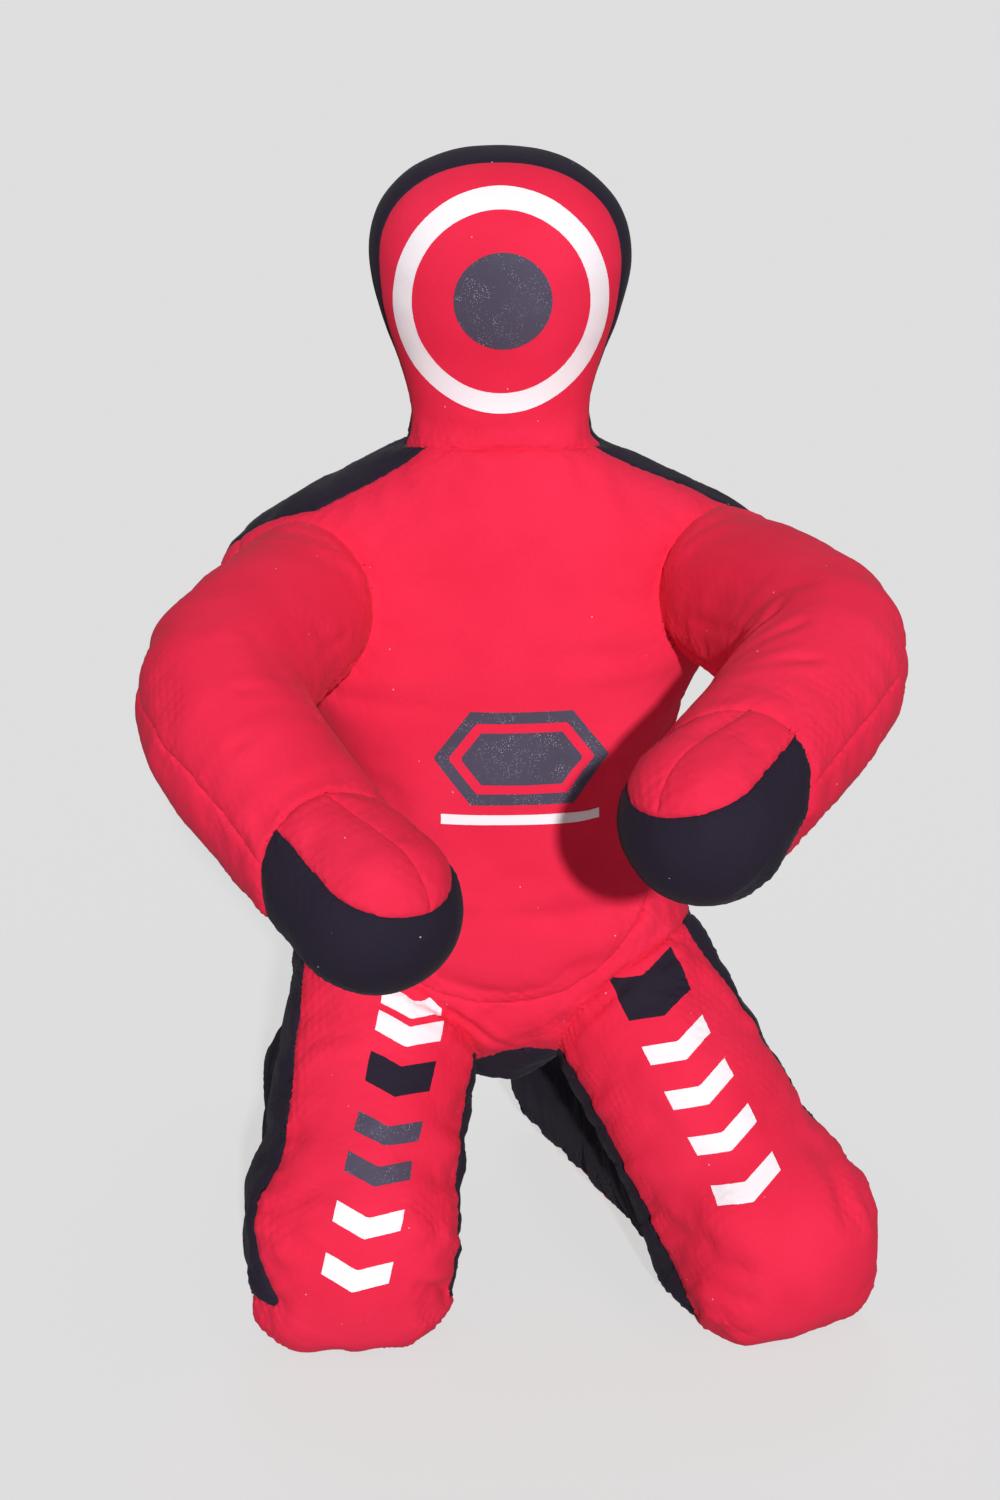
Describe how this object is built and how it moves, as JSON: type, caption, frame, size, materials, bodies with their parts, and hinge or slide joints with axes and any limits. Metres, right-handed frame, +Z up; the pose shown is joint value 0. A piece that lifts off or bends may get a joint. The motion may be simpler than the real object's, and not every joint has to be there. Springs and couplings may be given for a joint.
{
  "type": "grappling dummy",
  "caption": "Kneeling human-shaped grappling dummy: packed canvas body in red and black, arms reaching forward, target on the face, zip in the back.",
  "frame": {"origin": "on the floor, below the centre of the whole dummy's bounding box", "axes": "+Z up, the dummy faces -Y, its own right side is towards -X"},
  "size_m": [0.7342, 0.8984, 1.227],
  "materials": {
    "red_canvas": "woven, matte",
    "black_canvas": "woven, matte",
    "white_print": "screen print, satin",
    "grey_print": "screen print with glitter",
    "filling": "loose textile offcuts",
    "zip_tape": "woven tape",
    "zip_metal": "satin"
  },
  "bodies": {
    "torso": {"torso_filling": "filling", "torso_front_panel": "red_canvas", "torso_back_panel_right": "black_canvas", "torso_back_panel_left": "black_canvas", "crotch_gusset": "black_canvas", "zip_tape": "zip_tape", "zip_chain": "zip_metal", "belly_emblem_outline": "grey_print", "belly_emblem_core": "grey_print", "belly_bar": "white_print"},
    "head": {"head_filling": "filling", "head_front_panel": "red_canvas", "head_back_panel": "black_canvas", "target_ring": "white_print", "target_dot": "grey_print"},
    "upper_arm_right": {"upper_arm_filling_right": "filling", "upper_arm_top_panel_right": "red_canvas", "upper_arm_under_panel_right": "red_canvas"},
    "forearm_right": {"forearm_filling_right": "filling", "forearm_top_panel_right": "red_canvas", "forearm_under_panel_right": "red_canvas", "hand_palm_panel_right": "black_canvas", "hand_top_panel_right": "red_canvas", "hand_side_panel_right": "red_canvas"},
    "thigh_right": {"thigh_filling_right": "filling", "thigh_front_panel_right": "red_canvas", "thigh_back_panel_right": "black_canvas", "thigh_chevron_1_right": "white_print", "thigh_chevron_2_right": "grey_print", "thigh_chevron_3_right": "grey_print", "thigh_chevron_4_right": "white_print"},
    "shin_right": {"shin_filling_right": "filling", "shin_front_panel_right": "red_canvas", "shin_back_panel_right": "black_canvas"},
    "upper_arm_left": {"upper_arm_filling_left": "filling", "upper_arm_top_panel_left": "red_canvas", "upper_arm_under_panel_left": "red_canvas"},
    "forearm_left": {"forearm_filling_left": "filling", "forearm_top_panel_left": "red_canvas", "forearm_under_panel_left": "red_canvas", "hand_palm_panel_left": "black_canvas", "hand_top_panel_left": "red_canvas", "hand_side_panel_left": "red_canvas"},
    "thigh_left": {"thigh_filling_left": "filling", "thigh_front_panel_left": "red_canvas", "thigh_back_panel_left": "black_canvas", "thigh_chevron_1_left": "grey_print", "thigh_chevron_2_left": "white_print", "thigh_chevron_3_left": "white_print"},
    "shin_left": {"shin_filling_left": "filling", "shin_front_panel_left": "red_canvas", "shin_back_panel_left": "black_canvas"},
    "zip_slider": {"zip_slider": "zip_metal"},
    "zip_pull": {"zip_pull": "zip_metal"}
  },
  "joints": [
    {"name": "neck_nod", "type": "hinge", "parent": "torso", "child": "head", "pos_m": [-0.02324, 0.11375, 0.95], "axis": [1, 0, 0], "range_deg": [-20, 25]},
    {"name": "shoulder_right", "type": "hinge", "parent": "torso", "child": "upper_arm_right", "pos_m": [-0.23224, 0.01375, 0.773], "axis": [-1, 0, 0], "range_deg": [-20, 30]},
    {"name": "elbow_right", "type": "hinge", "parent": "upper_arm_right", "child": "forearm_right", "pos_m": [-0.28925, -0.16625, 0.736], "axis": [-0.4886, 0.3215, -0.8111], "range_deg": [-20, 45]},
    {"name": "hip_right", "type": "hinge", "parent": "torso", "child": "thigh_right", "pos_m": [-0.14824, 0.09375, 0.328], "axis": [1, 0, 0], "range_deg": [-20, 30]},
    {"name": "knee_right", "type": "hinge", "parent": "thigh_right", "child": "shin_right", "pos_m": [-0.18324, -0.07825, 0.094], "axis": [-0.9712, -0.098, 0.2173], "range_deg": [0, 45]},
    {"name": "shoulder_left", "type": "hinge", "parent": "torso", "child": "upper_arm_left", "pos_m": [0.22176, 0.01375, 0.789], "axis": [-1, 0, 0], "range_deg": [-20, 30]},
    {"name": "elbow_left", "type": "hinge", "parent": "upper_arm_left", "child": "forearm_left", "pos_m": [0.28375, -0.15625, 0.778], "axis": [-0.332, -0.181, 0.9258], "range_deg": [-20, 45]},
    {"name": "hip_left", "type": "hinge", "parent": "torso", "child": "thigh_left", "pos_m": [0.11176, 0.09375, 0.328], "axis": [1, 0, 0], "range_deg": [-20, 30]},
    {"name": "knee_left", "type": "hinge", "parent": "thigh_left", "child": "shin_left", "pos_m": [0.26575, -0.05225, 0.094], "axis": [-0.8591, -0.4053, -0.3125], "range_deg": [0, 45]},
    {"name": "zip_slide", "type": "slide", "parent": "torso", "child": "zip_slider", "axis": [0, 0, 1], "range_m": [-0.23, 0]},
    {"name": "zip_pull_swing", "type": "hinge", "parent": "zip_slider", "child": "zip_pull", "pos_m": [-0.02324, 0.23975, 0.7732], "axis": [1, 0, 0], "range_deg": [0, 150]}
  ]
}
